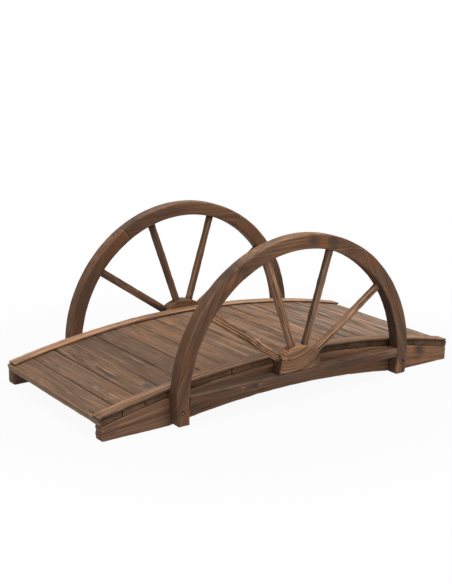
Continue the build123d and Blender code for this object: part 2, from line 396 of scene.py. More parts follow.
def make_wood(name, shades, grey, blush, worn, *, ring_gap, ring_share, broad_share, streak_share, grey_share,
              blush_share, line_share, scratch_share=0.0, streak_fine=150, wander=0.012, late_from=0.2,
              knot_shades=((76, 54, 41), (40, 29, 22))):
    """Stained softwood with rings, streaks, fibres, grey and warm patches, knots, worn edges and splits."""
    net = Nodes(bpy.data.materials.new(name))
    times, plus, minus = (partial(net.math, kind) for kind in ("MULTIPLY", "ADD", "SUBTRACT"))
    wood = net.attribute("wood", "Vector")
    knot, wear, dark, tone = map(net.attribute, ("knot", "wear", "dark", "tone"))
    warm, dirt, scuff, figure = map(net.attribute, ("warm", "dirt", "scuff", "figure"))

    # Growth rings about the pith, bent by a slow wave and round the knots.
    wave = net.noise(wood, (3.2, 14, 14), 2, 0.5, "Color")
    wave = net.vector("MULTIPLY", net.vector("SUBTRACT", wave, (0.5, 0.5, 0.5)), (0, wander, wander))
    bent = net.vector("ADD", wood, wave)
    radius = net.vector("LENGTH", net.vector("MULTIPLY", bent, (0, 1, 1)))
    near_knot = times(net.spread(knot, 0.9, 2.8, 1, 0), times(knot, 2.2))
    ring = net.math("FRACT", plus(net.math("DIVIDE", radius, ring_gap), near_knot))
    late = times(net.spread(ring, late_from, 0.82), net.spread(ring, 0.88, 1, 1, 0))
    clear = net.spread(net.noise(wood, (4, 26, 26), 2, 0.6), 0.38, 0.62, 0.25, 1)
    late = times(late, times(clear, figure))

    # How pale the wood is: broad bands, narrow streaks and fibres, less the dark late wood of each ring.
    broad = net.noise(bent, (2.2, 34, 34), 3, 0.6)
    streak = net.noise(bent, (2, streak_fine, streak_fine), 2, 0.6)
    fibre = net.noise(bent, (4.5, 460, 460), 1, 0.5)
    pale = 0.5 + 0.4 * ring_share - 0.5 * (broad_share + streak_share + FIBRE_SHARE)
    for layer, share in ((broad, broad_share), (streak, streak_share), (fibre, FIBRE_SHARE)):
        pale = plus(times(layer, share), pale)
    pale = minus(pale, times(late, ring_share))
    base = net.ramp(pale, zip(SHADE_STOPS, map(colour, shades)))

    # Grey and reddish patches, dark lines and pale scratches.
    patch = net.add("SeparateColor", net.noise(wood, (5, 22, 22), 3, 0.6, "Color")).outputs
    cool = minus(net.spread(patch[0], 0.50, 0.70, 0, grey_share), warm)
    base = net.mix(net.spread(cool, 0, 1, 0, 0.8), base, colour(grey))
    red = plus(net.spread(patch[1], 0.50, 0.70, 0, blush_share), warm)
    base = net.mix(net.spread(red, 0, 1, 0, 0.8), base, colour(blush))

    def thin_lines(scale, rough, width, share, where):
        middle = minus(net.noise(bent, scale, 1, rough), 0.5)
        return times(net.spread(net.math("ABSOLUTE", middle), 0, width, share, 0), where)

    line = thin_lines((4, 115, 115), 0.4, 0.030, line_share, net.spread(patch[2], 0.44, 0.58))
    base = net.mix(line, base, colour(LINE_TINT))
    scratch = thin_lines((7, 62, 62), 0.5, 0.040, scratch_share, net.spread(patch[0], 0.42, 0.56))
    base = net.mix(scratch, base, colour(worn))

    # Rubbed places, dirt and painted shade, knots and splits.
    rubbed = plus(times(wear, 0.8), scuff)
    rubbed = times(rubbed, net.spread(streak, 0.35, 0.65, 0.25, 0.85))
    base = net.mix(rubbed, base, colour(worn))
    dirt = times(dirt, net.spread(fibre, 0.3, 0.7, 0.65, 1))
    base = net.mix(dirt, base, colour(DIRT_AND_SHADE_TINT))
    knot_tint = net.spread(net.math("FRACT", times(knot, 3.2)), 0.2, 0.8)
    knot_tint = net.mix(knot_tint, *map(colour, knot_shades))
    base = net.mix(net.spread(knot, 0.6, 1.15, 0.92, 0), base, knot_tint)
    base = net.mix(dark, base, colour(SPLIT_TINT))
    tone = net.add("CombineColor", tone, tone, tone).outputs[0]
    net.shade("Base Color", net.mix(1, base, tone, "MULTIPLY"))
    rough = net.spread(streak, 0.3, 0.7, 0.74, 0.56, "LINEAR")
    net.shade("Roughness", plus(rough, times(dark, 0.15)))
    net.shade("Specular IOR Level", 0.3)
    height = plus(times(fibre, 0.6), times(streak, 0.7))
    net.bump(minus(height, times(line, 0.8)), 0.7, 0.0014)
    return net.owner


def make_metal(name, tint):
    """Dull zinc steel with faint scratches and a brown bloom."""
    net = Nodes(bpy.data.materials.new(name))
    place = net.add("TexCoord").outputs["Object"]
    bloom = net.spread(net.noise(place, (160, 160, 160), 3), 0.42, 0.62)
    grit = net.noise(place, (900, 900, 900), 2)
    net.shade("Base Color", net.mix(bloom, colour(tint), colour(BLOOM_TINT)))
    net.shade("Roughness", net.spread(grit, 0.3, 0.7, 0.28, 0.48, "LINEAR"))
    net.shade("Metallic", 0.9)
    net.bump(grit, 0.3, 0.0003)
    return net.owner


LOOKS = ("ring_gap", "ring_share", "broad_share", "streak_share", "grey_share", "blush_share", "line_share")
# Each wood's shades from dark to pale, its grey, blush and worn colours, its looks, and other values.
WOODS = {
    "deck_wood": (
        ((72, 53, 40), (104, 79, 61), (124, 95, 74), (166, 129, 99)),
        ((112, 98, 88), (140, 100, 70), (178, 138, 104)), (0.0062, 0.26, 0.15, 0.80, 0.22, 0.4, 0.5),
        dict(scratch_share=0.4, knot_shades=((92, 81, 71), (74, 64, 56))),
    ),
    "deck_bold": (
        ((70, 53, 42), (104, 82, 67), (134, 107, 87), (186, 148, 116)),
        ((124, 112, 104), (160, 114, 78), (186, 146, 112)), (0.0090, 0.12, 1.4, 1.4, 0.9, 0.85, 0.85),
        dict(scratch_share=0.45, streak_fine=75),
    ),
    "frame_wood": (
        ((76, 54, 40), (112, 81, 61), (136, 100, 75), (168, 126, 94)),
        ((108, 96, 88), (146, 97, 62), (176, 130, 94)), (0.0075, 0.14, 0.42, 0.85, 0.45, 0.5, 0.5), {},
    ),
    "wheel_wood": (
        ((64, 45, 33), (100, 72, 53), (124, 90, 66), (164, 122, 90)),
        ((102, 90, 82), (132, 84, 54), (182, 133, 94)), (0.0085, 0.10, 0.42, 0.75, 0.55, 0.5, 0.35), {},
    ),
    "rail_wood": (
        ((62, 44, 32), (98, 71, 54), (120, 89, 68), (152, 115, 88)),
        ((98, 87, 80), (134, 88, 58), (172, 154, 141)), (0.0085, 0.08, 0.45, 1.15, 0.5, 0.5, 0.5),
        dict(knot_shades=((88, 78, 72), (58, 47, 41))),
    ),
    "hub_wood": (
        ((64, 43, 29), (118, 85, 60), (146, 108, 77), (178, 134, 97)),
        ((112, 98, 86), (150, 101, 64), (186, 138, 98)), (0.0150, 0.38, 0.5, 1.5, 0.35, 0.4, 0.5),
        dict(wander=0.022, late_from=0.66),
    ),
    "spoke_wood": (
        ((64, 45, 33), (112, 82, 61), (148, 112, 85), (194, 151, 115)),
        ((116, 102, 92), (154, 107, 72), (200, 152, 112)), (0.0050, 0.12, 0.5, 1.5, 0.4, 0.35, 0.7),
        dict(scratch_share=0.4),
    ),
    "strip_wood": (
        ((90, 63, 45), (140, 101, 75), (174, 130, 98), (212, 164, 126)),
        ((134, 118, 107), (184, 130, 90), (212, 164, 124)), (0.0065, 0.16, 0.35, 2.0, 0.5, 0.4, 0.8), {},
    ),
}
woods = {
    name: make_wood(name, shades, *tints, **dict(zip(LOOKS, looks)), **others)
    for name, (shades, tints, looks, others) in WOODS.items()
}
bolt_metal = make_metal("bolt_metal", (128, 126, 124))


# Stringers.

STRINGER_NOMINAL = 0.070
END_REACH = 0.012
RIGHT_BUMP = 0.0008
BUMP_TURN, BUMP_START = 13.5, 1.2


def stringer_place(side):
    """Height follows the arched top and the arch cut out below; side is -1 in front and 1 behind."""
    def place(local):
        x = local[:, 0]
        top = DECK_CENTRE + np.sqrt(DECK_RADIUS**2 - x**2)
        under = np.sqrt(np.maximum(ARCH_RADIUS**2 - x**2, 0)) - (ARCH_RADIUS - ARCH_RISE)
        under = np.where(np.abs(x) < ARCH_HALF, np.maximum(under, 0), 0)
        share = local[:, 1] / STRINGER_NOMINAL + 0.5
        y = side * (HALF_WIDTH - STRINGER_THICK / 2) + local[:, 2]
        return np.stack([x, y, np.maximum(under + (top - under) * share, 0)], axis=1)
    return place


def worn_ends(bump, corner):
    """The stringer's ends are worn: low bumps down the end grain and round lower corners."""
    def shape(points, local):
        near = np.clip(1 - (HALF_LENGTH - np.abs(local[:, 0])) / END_REACH, 0, 1)
        rise = local[:, 1] / STRINGER_NOMINAL + 0.5
        wave = 0.5 - 0.5 * np.cos(rise * BUMP_TURN + BUMP_START)
        wave *= np.where(local[:, 0] < 0, bump, RIGHT_BUMP)
        lack = np.clip(corner - rise * STRINGER_END, 0, corner)
        points[:, 0] -= np.sign(local[:, 0]) * near * (wave + corner - np.sqrt(corner**2 - lack**2))
        return points
    return shape


# Each stringer's side, seed, and the height of its bumps and the radius of its corners at the ends.
STRINGERS = (("front", -1, 101, 0.0028, 0.0055), ("back", 1, 151, 0.0006, 0.0090))
for side_name, side, seed, bump, corner in STRINGERS:
    face = side * STRINGER_THICK / 2
    timber(
        f"stringer_{side_name}", "frame_wood", (2 * HALF_LENGTH, STRINGER_NOMINAL, STRINGER_THICK),
        (250, 18, 9), stringer_place(side), seed, edge=0.0035, pith=(0.015, 0.09), tilt=0.012, end_dark=0.25,
        tone=1.27, wear=0.6, shape=worn_ends(bump, corner), extra=((-ARCH_HALF, ARCH_HALF), (), ()),
        knots=((-0.62, -0.01, face, 0.006),) if side > 0 else (),
        marks=(
            (DIRT_AND_SHADE, 1, 0.61, 0.023, face, 0.03, 0.034),
            (SCUFF, 0.5, 0.7, -0.032, face, 0.08, 0.008),
            (DIRT_AND_SHADE, 0.6, 0.59, -0.006, face, 0.03, 0.005),
            (WARM, 0.45, 0.62, -0.01, face, 0.14, 0.05, 0.03),
            (SCUFF, 0.25, 0.62, -0.01, face, 0.14, 0.05, 0.03),
            (DIRT_AND_SHADE, 0.25, -0.3, -0.01, face, 0.2, 0.05),
            (WARM, 0.4, 0.2, -0.02, face, 0.25, 0.03, 0.03),
            (SCUFF, 0.6, 0.66, -0.02, face, 0.06, 0.004),
            (SCUFF, 0.6, 0.7, -0.003, face, 0.05, 0.003),
            (SCUFF, 0.5, 0.68, 0.015, face, 0.05, 0.004),
            (DIRT_AND_SHADE, 0.6, 0.69, -0.011, face, 0.05, 0.003),
            (DIRT_AND_SHADE, 0.5, 0.67, 0.007, face, 0.06, 0.003),
        ),
    )


# Deck.

# Knots that catch the eye on the near boards, by board: along, across, radius.
NEAR_KNOTS = {
    2: ((0.250, 0.022, 0.0170), (-0.210, -0.011, 0.0045)),
    3: ((0.208, -0.029, 0.0035), (-0.126, 0.008, 0.0032)),
}
# Scratches and stains there: board, kind, strength, along, across, reach along and across.
NEAR_MARKS = (
    (1, SCUFF, 1.3, 0.215, -0.005, 0.045, 0.006),
    (1, DIRT_AND_SHADE, 0.9, 0.07, -0.011, 0.03, 0.004),
    (1, SCUFF, 1.2, 0.115, -0.012, 0.016, 0.005),
    (2, SCUFF, 1.8, -0.06, 0, 0.055, 0.0032),
    (2, SCUFF, 1.8, 0.035, 0.005, 0.06, 0.0032),
    (2, SCUFF, 1.8, 0.025, -0.007, 0.085, 0.0032),
    (2, DIRT_AND_SHADE, 0.15, 0.026, -0.001, 0.05, 0.004),
    (2, SCUFF, 1.3, -0.2, -0.002, 0.05, 0.003),
    (3, SCUFF, 1.8, 0.04, 0.024, 0.06, 0.0032),
    (3, DIRT_AND_SHADE, 0.2, -0.14, 0.02, 0.04, 0.004),
)
BOARD_TONES = (0.98, 0.98, 0.95, 0.74, 0.74, 0.93, 1.03, 0.88, 0.88, 0.88, 0.88, 0.90) + 6 * (0.95,)
# Boards towards the right are lighter: partly paler wood, partly painted sheen where the deck slopes away.
TONE_AND_SHEEN_FROM, TONE_AND_SHEEN_RISE = 0.45, 0.26
BOARD_WARMTH = 5 * (0.12,) + 7 * (0.30,) + 6 * (0.0,)
NEAR_PITH = {3: (-0.03, 0.045)}
BOLD_BOARDS, DARK_ENDS = range(7, PLANKS), range(9, PLANKS - 2)
FLAME_FROM, FLAME_EASE, FLAME_GAIN = 0.16, 0.10, 0.5
PLANK_TOP = PLANK_THICK / 2
PLANK_SETBACK = 0.004
# Two boards lie tight and level against each other, from the far side to past the middle.
MEETING_SIDE = {2: 1, 3: -1}
MEETING_STOP, MEETING_FADE = 0.19, 0.08
MEETING_WIDE, MEETING_EASE = 0.004, 0.002
NO_WEAR = 0.02
FINE_CUTS = np.arange(-0.030, 0.0301, 0.0015)


def plank_place(number):
    """A board across the stringers, lying on the deck's arc."""
    lean = (number + 0.5) * PLANK_STEP - DECK_ANGLE
    normal = np.array([math.sin(lean), 0, math.cos(lean)])
    along_deck = np.array([math.cos(lean), 0, -math.sin(lean)])
    seat = np.array([0, 0, DECK_CENTRE]) + normal * (DECK_RADIUS + PLANK_THICK / 2)
    axes = np.stack([np.array([0, -1.0, 0]), along_deck, normal])
    return lambda local: seat + local @ axes


def plank_shape(ends, meets):
    """Board ends stand back by uneven amounts, and an edge that meets the next board is square."""
    def shape(points, local):
        back = np.where(local[:, 0] > 0, ends[0], -ends[1])
        points[:, 0] -= back * np.clip(np.abs(local[:, 0]) / HALF_WIDTH, 0, 1)
        share = np.clip((meets * local[:, 1] - PLANK_WIDE / 2 + MEETING_WIDE) / MEETING_EASE, 0, 1)
        share *= np.clip((MEETING_STOP - local[:, 0]) / MEETING_FADE, 0, 1) * (local[:, 2] > 0)
        square = local[:, 1:] + np.array([meets * PLANK_GAP / 2, 0])
        points[:, 1:] += share[:, None] * (square - points[:, 1:])
        return points
    return shape


def flamed(local):
    """Rings that show more strongly in the far part of a board."""
    return 1 + FLAME_GAIN * np.clip((FLAME_FROM - local[:, 0]) / FLAME_EASE, 0, 1)


for number in range(PLANKS):
    seed = 200 + 11 * number
    rng = np.random.default_rng(seed)
    meets = MEETING_SIDE.get(number, 0)
    shape = plank_shape(rng.uniform(0.0, PLANK_SETBACK, 2), meets)
    knots = []
    if number % 4 == 1:
        along, across = rng.uniform(-0.2, 0.26), rng.uniform(-0.03, 0.03)
        knots.append((along, across, PLANK_TOP, rng.uniform(0.004, 0.007)))
    for along, across, radius in NEAR_KNOTS.get(number, ()):
        knots.append((along, across, PLANK_TOP, radius))
    marks = [
        (SCUFF, rng.uniform(0.1, 0.4), rng.uniform(-0.3, 0.3), rng.uniform(-0.03, 0.03), PLANK_TOP,
         rng.uniform(0.05, 0.12), 0.012)
        for _ in range(3)
    ]
    # Painted shadow: the top of each board's front end is darkened just under the edge strip.
    marks.append((DIRT_AND_SHADE, 0.9, HALF_WIDTH, 0, PLANK_TOP, 0.01, 0.2, 0.007))
    if number == 0:
        marks.append((SCUFF, 1, 0, -PLANK_WIDE / 2, -0.004, 1, 0.006, 0.03))
    for board, kind, strength, along, across, *reach in NEAR_MARKS:
        if board == number:
            marks.append((kind, strength, along, across, PLANK_TOP, *reach, 0.01))
    marks.append((WARM, 0.8 if number >= PLANKS - 2 else 0.5, HALF_WIDTH, 0, 0, 0.012, 0.1))
    marks.append((
        WARM, rng.uniform(0.2, 0.6), rng.uniform(-0.3, 0.3), rng.uniform(-0.03, 0.03), PLANK_TOP,
        rng.uniform(0.10, 0.20), 0.018,
    ))
    end_dark = rng.uniform(0.0, 0.8)
    if number in DARK_ENDS:
        end_dark = 0.70 + 0.25 * end_dark
    splits = []
    if number % 3 == 0:
        start = HALF_WIDTH - rng.uniform(0.04, 0.12)
        splits.append((1, rng.uniform(-0.025, 0.025), 0.0008, 0.003, start, HALF_WIDTH + 0.02))
    pith = (rng.choice((-1, 1)) * rng.uniform(0.05, 0.09), rng.uniform(0.02, 0.05))
    if number % 5 == 2:
        pith = (rng.uniform(-0.02, 0.02), rng.uniform(0.04, 0.07))
    pith = NEAR_PITH.get(number, pith)
    tilt = rng.uniform(-0.05, 0.05)
    tone = rng.uniform(0.97, 1.03) * BOARD_TONES[number]
    # Partly painted sheen, partly paler wood.
    tone += TONE_AND_SHEEN_RISE * max(0.0, (number + 0.5) / PLANKS - TONE_AND_SHEEN_FROM)
    timber(
        f"deck_plank_{number + 1:02d}", "deck_wood", (2 * HALF_WIDTH, PLANK_WIDE, PLANK_THICK), (84, 18, 5),
        plank_place(number), seed, edge=0.002, pith=pith, tilt=tilt, knots=knots, splits=splits, marks=marks,
        shape=shape, wear=0.45, tone=tone, warm=BOARD_WARMTH[number], chips=0.0016, rough_end=0.001,
        wood="deck_bold" if number in BOLD_BOARDS else None, end_dark=end_dark, end_draw=0.25,
        snug=(NO_WEAR if meets < 0 else 0, NO_WEAR if meets > 0 else 0),
        extra=((), FINE_CUTS if meets else (), ()), figure=flamed if meets else None,
    )


# Edge strips.

RIGHT_SLANT, SLANT_REACH = 0.012, 0.03
LEFT_REACH = 0.04


def strip_place(side):
    """A thin strip bent along the deck's edge."""
    def place(local):
        angle = local[:, 0] / STRIP_RADIUS
        reach = STRIP_RADIUS + STRIP_THICK / 2 + local[:, 2]
        y = side * (HALF_WIDTH - STRIP_WIDE / 2) + local[:, 1]
        return np.stack([reach * np.sin(angle), y, DECK_CENTRE + reach * np.cos(angle)], axis=1)
    return place


def strip_ends(short):
    """The strip's right end is cut at a slant, so that its tip is thin; its left end may stop short."""
    def shape(points, local):
        half = STRIP_RADIUS * STRIP_ANGLE
        right = np.clip(1 - (half - local[:, 0]) / SLANT_REACH, 0, 1)
        left = np.clip(1 - (half + local[:, 0]) / LEFT_REACH, 0, 1)
        points[:, 0] += short * left - RIGHT_SLANT * right * (0.5 - local[:, 2] / STRIP_THICK)
        return points
    return shape


for side_name, side, seed, tone, short in (("front", -1, 501, 0.71, 0.0), ("back", 1, 551, 1.03, 0.009)):
    top, outer = STRIP_THICK / 2, side * STRIP_WIDE / 2
    timber(
        f"edge_strip_{side_name}", "strip_wood", (2 * STRIP_RADIUS * STRIP_ANGLE, STRIP_WIDE, STRIP_THICK),
        (300, 12, 4), strip_place(side), seed, edge=0.0016, pith=(0.01, 0.05), tilt=0.01, tone=tone,
        chips=0.0012, knots=((-0.31, 0.006, 0.004, 0.005),), end_dark=0.7, wear=0.6, shape=strip_ends(short),
        marks=(
            (SCUFF, 0.7 if side > 0 else 0.1, -0.62, 0, 0, 0.3, 0.06),
            # Painted shade along the lower inner edge, where the strip meets the deck.
            (DIRT_AND_SHADE, 1.1, 0.2, -outer, -top, 2, 0.004, 0.008),
            (SCUFF, 1, 0.4, 0, top, 0.35, 0.05, 0.006),
            (DIRT_AND_SHADE, 0.4 if side < 0 else 0, -0.12, 0, top, 0.25, 0.05, 0.006),
            (DIRT_AND_SHADE, 0.8, -0.74, outer, 0, 0.05, 0.006, 0.01),
            (DIRT_AND_SHADE, 0.7, -0.66, outer, -0.002, 0.03, 0.004, 0.01),
            (DIRT_AND_SHADE, 0.8, 0.748, 0, 0, 0.012, 0.1),
            (DIRT_AND_SHADE, 0.5 if side < 0 else 0, -0.745, 0, 0, 0.012, 0.1),
        ),
    )


# Wheels.

SIDE_LENGTH = 0.555
LEG_BEND = 0.72
LEG_MIDDLE = 0.472
GRAIN_STRAIGHT = 0.85
LEG_RUN = RIM_INNER * LEG_BLEND + WHEEL_HEIGHT - LEG_FOOT_HIGH
TOP_LENGTH = (math.pi - 2 * RIM_JOINT) * RIM_OUTER
HUB_WIDE, HUB_HIGH = 0.165, 0.074
RING_CENTRE, RING_DRAW = (-0.04, 0.30), 0.16
BOLT_ALONG = (0.5 - (BOLT_Z - LEG_FOOT_HIGH) / LEG_RUN * (1 - LEG_BEND)) * SIDE_LENGTH
BOLT_ACROSS = 0.003
PIT_RADIUS, PIT_DEPTH = 0.0070, 0.0055
PIT_CUTS = np.arange(-0.012, 0.0121, 0.0014)
RIM_EDGE, RAIL_EDGE, FOOT_EDGE, JOINT_EDGE = 0.0032, 0.005, 0.005, 0.0003


def on_circle(radius, angle):
    """Points in the wheel's plane, as X and Z, at an angle on a circle about its centre."""
    return np.stack([radius * np.cos(angle), WHEEL_HEIGHT + radius * np.sin(angle)], axis=-1)


def in_wheel(flat, side):
    """Puts a timber in one wheel: flat gives X and Z, and the local depth is from the wheel's middle."""
    def place(local):
        x, z = flat(local).T
        return np.stack([x, side * WHEEL_MIDDLE + local[:, 2], z], axis=1)
    return place


def leg_lines(share):
    """Inner and outer edge of the right rim segment, from its joint (0) down to its foot (1)."""
    upper = np.clip(share / LEG_BEND, 0, 1)
    lower = np.clip((share - LEG_BEND) / (1 - LEG_BEND), 0, 1)
    angle = RIM_JOINT + (LEG_BLEND - RIM_JOINT) * upper
    inner, outer = on_circle(RIM_INNER, angle), on_circle(RIM_OUTER, angle)
    arc = RIM_INNER * LEG_BLEND
    run = lower * LEG_RUN
    inner_low = on_circle(RIM_INNER, LEG_BLEND - np.minimum(run, arc) / RIM_INNER)
    inner_low[:, 1] -= np.maximum(run - arc, 0)
    begin = on_circle(RIM_OUTER, np.array(LEG_BLEND))
    inward = np.array([-math.cos(LEG_BLEND), -math.sin(LEG_BLEND)])
    chord = np.array([RIM_INNER + LEG_FOOT_WIDE, LEG_FOOT_HIGH]) - begin
    radius = chord @ chord / (2 * chord @ inward)
    centre = begin + radius * inward
    sweep = 2 * math.asin(math.hypot(*chord) / (2 * radius))
    turn = LEG_BLEND - lower * sweep
    outer_low = centre + radius * np.stack([np.cos(turn), np.sin(turn)], axis=-1)
    is_low = (share > LEG_BEND)[:, None]
    return np.where(is_low, inner_low, inner), np.where(is_low, outer_low, outer)


def side_rim(turn):
    """A rim segment and its leg; turn is -1 at the left and 1 at the right."""
    def flat(local):
        inner, outer = leg_lines(np.clip(local[:, 0] / SIDE_LENGTH + 0.5, 0, 1))
        right = inner + (outer - inner) * (local[:, 1] / RIM_WIDE + 0.5)[:, None]
        return right * np.array([turn, 1])
    return flat


def top_rim(local):
    """The rim segment at the top of a wheel."""
    return on_circle(RIM_INNER + RIM_WIDE / 2 + local[:, 1], math.pi / 2 - local[:, 0] / RIM_OUTER)


def rim_grain(start, stop):
    """Grain along a rim segment: partly with its curve, mostly straight, as the timber was sawn."""
    start, stop = np.array(start), np.array(stop)
    way = (stop - start) / np.linalg.norm(stop - start)
    outward = np.array([-way[1], way[0]])
    outward *= np.sign(outward @ ((start + stop) / 2 - np.array([0, WHEEL_HEIGHT])))

    def grain(local, world):
        across = (world[:, [0, 2]] - start) @ outward
        across = GRAIN_STRAIGHT * across + (1 - GRAIN_STRAIGHT) * local[:, 1]
        return np.stack([local[:, 0], across, local[:, 2]], axis=1)
    return grain


def straight(middle, angle):
    """A straight timber in the wheel's plane, its length at an angle to X."""
    way = math.cos(angle), math.sin(angle)
    axes = np.array([way, (-way[1], way[0])])
    return lambda local: np.asarray(middle) + local[:, :2] @ axes


def hub_corner():
    """The angle at which the hub's sloping side meets its round top, found by halving."""
    low, high = 0.0, HUB_RADIUS
    for _ in range(60):
        rise = (low + high) / 2
        x, z = HUB_HALF - rise * HUB_SLOPE, RAIL_TOP + rise - WHEEL_HEIGHT
        low, high = (rise, high) if math.hypot(x, z) < HUB_RADIUS else (low, rise)
    return math.atan2(z, x)


def hub(local):
    """A patch between the hub's flat base and its round top, with straight sloping sides."""
    corner = hub_corner()
    s = (local[:, 0] / HUB_WIDE + 0.5)[:, None]
    t = (local[:, 1] / HUB_HIGH + 0.5)[:, None]
    base = np.concatenate([HUB_HALF * (2 * s - 1), np.full_like(s, RAIL_TOP)], axis=1)
    crown = on_circle(HUB_RADIUS, (math.pi - corner) + s[:, 0] * (2 * corner - math.pi))
    return (1 - t) * base + t * crown


def hub_grain(local, world):
    """Growth rings that sweep across the hub's face, about a centre above it."""
    flat = world[:, [0, 2]] - np.array(RING_CENTRE)
    turn = np.arctan2(flat[:, 1], flat[:, 0])
    return np.stack([RING_DRAW * turn, np.linalg.norm(flat, axis=1), local[:, 2]], axis=1)


def torn_edge(length):
    """Tears along the upper edge of the near left slat."""
    def shape(points, local):
        near = np.clip(-local[:, 1] / (SPOKE_WIDE / 2), 0, 1) ** 2
        for along, reach, height in TEARS:
            offset = (local[:, 0] / length - along) / reach
            points[:, 1] -= height * near * np.exp(-(offset**2))
        return points
    return shape


# Tears in that slat: along and reach in shares of its length, and height in metres.
TEARS = (
    (0.44, 0.08, 0.004), (0.28, 0.03, -0.003), (0.14, 0.05, -0.002), (0.02, 0.03, -0.003),
    (-0.07, 0.03, 0.001), (-0.135, 0.03, 0.0035), (-0.19, 0.02, -0.002), (-0.36, 0.10, -0.003),
)

# Shaded and rubbed places of one rim segment each.
INNER, OUTER, SEEN = -RIM_WIDE / 2, RIM_WIDE / 2, -WHEEL_THICK / 2
RIM_MARKS = {
    ("front", "left"): (
        (DIRT_AND_SHADE, 0.45, 0.05, OUTER, 0, 0.3, 0.006, 0.05),
        (WARM, 0.5, 0.05, OUTER, 0, 0.3, 0.006, 0.05),
        (DIRT_AND_SHADE, 0.7, -0.24, OUTER, 0, 0.07, 0.006, 0.05),
        (SCUFF, 0.5, -0.23, 0.005, SEEN, 0.04, 0.01, 0.01),
    ),
    ("front", "right"): (
        (DIRT_AND_SHADE, 1.1, 0.02, INNER, 0, 0.25, 0.005, 0.05),
        (DIRT_AND_SHADE, 0.25, -0.08, 0, SEEN, 0.12, 0.05, 0.01),
        (SCUFF, 1, 0.248, -0.015, SEEN, 0.035, 0.006, 0.01),
        (SCUFF, 0.6, 0.255, -0.002, SEEN, 0.025, 0.004, 0.01),
    ),
    ("back", "left"): (
        (DIRT_AND_SHADE, 0.35, 0, 0, SEEN, 0.15, 0.05, 0.01),
        (WARM, 0.5, -0.2, 0, SEEN, 0.1, 0.05, 0.01),
    ),
    ("back", "right"): (
        (DIRT_AND_SHADE, 0.65, 0.1, 0.012, SEEN, 0.09, 0.03, 0.01),
        (SCUFF, 0.5, 0.05, INNER, 0, 0.15, 0.006, 0.05),
        (WARM, 0.5, -0.22, 0, SEEN, 0.08, 0.05, 0.01),
    ),
    ("front", "top"): (
        (DIRT_AND_SHADE, 0.7, -0.262, 0.002, SEEN, 0.022, 0.05),
        (DIRT_AND_SHADE, 1, -0.272, OUTER, 0, 0.01, 0.008),
    ),
    ("back", "top"): (
        (DIRT_AND_SHADE, 0.6, -0.24, OUTER, 0, 0.09, 0.008, 0.05),
        (DIRT_AND_SHADE, 0.45, -0.25, 0, SEEN, 0.06, 0.05),
    ),
}


def spoke_wear(index, side, length):
    """Splits and marks of one spoke, counted from the left."""
    front, low_edge, high_edge = side * SPOKE_THICK / 2, -SPOKE_WIDE / 2, SPOKE_WIDE / 2
    cracks, marks = (), ()
    if index == 0:
        cracks = (
            (side, 0.0085, 0.0016, 0.004, -0.40 * length, 0.52 * length),
            (side, 0.0020, 0.0015, 0.004, -0.10 * length, 0.48 * length),
            (side, 0.0, 0.0016, 0.004, -0.52 * length, -0.06 * length),
            (side, -0.0065, 0.0018, 0.005, -0.52 * length, -0.10 * length),
            (side, -0.0122, 0.0024, 0.003, -0.08 * length, 0.40 * length),
        )
        marks = (
            (DIRT_AND_SHADE, 1, 0.12 * length, low_edge, 0, 0.28 * length, 0.0055, 0.05),
            (DIRT_AND_SHADE, 0.9, -0.3 * length, low_edge, 0, 0.16 * length, 0.0045, 0.05),
            (SCUFF, 1.2, 0.3 * length, 0.005, front, 0.12, 0.003, 0.01),
            (SCUFF, 1.1, 0.3 * length, -0.002, front, 0.1, 0.003, 0.01),
            (SCUFF, 0.7, -0.38 * length, -0.003, front, 0.05, 0.003, 0.01),
            (SCUFF, 0.6, -0.3 * length, 0.004, front, 0.08, 0.003, 0.01),
        )
        if side > 0:
            marks += (
                (DIRT_AND_SHADE, 0.8, -0.34 * length, 0.006, 0, 0.06, 0.01, 0.05),
                (SCUFF, 1.2, -0.02 * length, low_edge, 0, 0.007, 0.007, 0.05),
                (DIRT_AND_SHADE, 1.2, -0.06 * length, low_edge, 0, 0.007, 0.007, 0.05),
            )
    elif index == 1:
        marks = ((SCUFF, 1.2, 0.28 * length, -0.008, front, 0.05, 0.005, 0.01),)
    elif index == 3:
        cracks = (
            (side, -0.001, 0.0024, 0.005, 0.12 * length, 0.47 * length),
            (side, -0.006, 0.0020, 0.005, -0.50 * length, -0.18 * length),
        )
        marks = (
            # Painted shade: the upper side is darkened too, though the top lamp lights it.
            (DIRT_AND_SHADE, 0.45, 0, high_edge, 0, 2, 0.006, 0.05),
            (SCUFF, 1.2, 0.26 * length, 0.005, front, 0.08, 0.005, 0.01),
            (SCUFF, 1, -0.36 * length, 0.001, front, 0.06, 0.004, 0.01),
        )
    # Painted shade on one long side of each spoke, its shaded side.
    shaded_edge = low_edge if index == 3 else high_edge
    shade = (0.6, 0.35, 0.9 if side < 0 else 0.45, 0.9)[index]
    return cracks, (
        (SCUFF, 0.6, 0.02, 0.008, side * WHEEL_THICK / 2, 0.02, 0.01),
        (DIRT_AND_SHADE, shade, 0, shaded_edge, 0, 2, 0.005, 0.05),
        # Painted shade in the creases where the spoke meets the hub and the rim.
        (DIRT_AND_SHADE, 0.8 if index == 0 else 0.3, 0.016 - length / 2, 0, 0, 0.008, 0.1, 0.1),
        (DIRT_AND_SHADE, 0.7, length / 2 - 0.002, 0, 0, 0.007, 0.1, 0.1),
        *marks,
    )


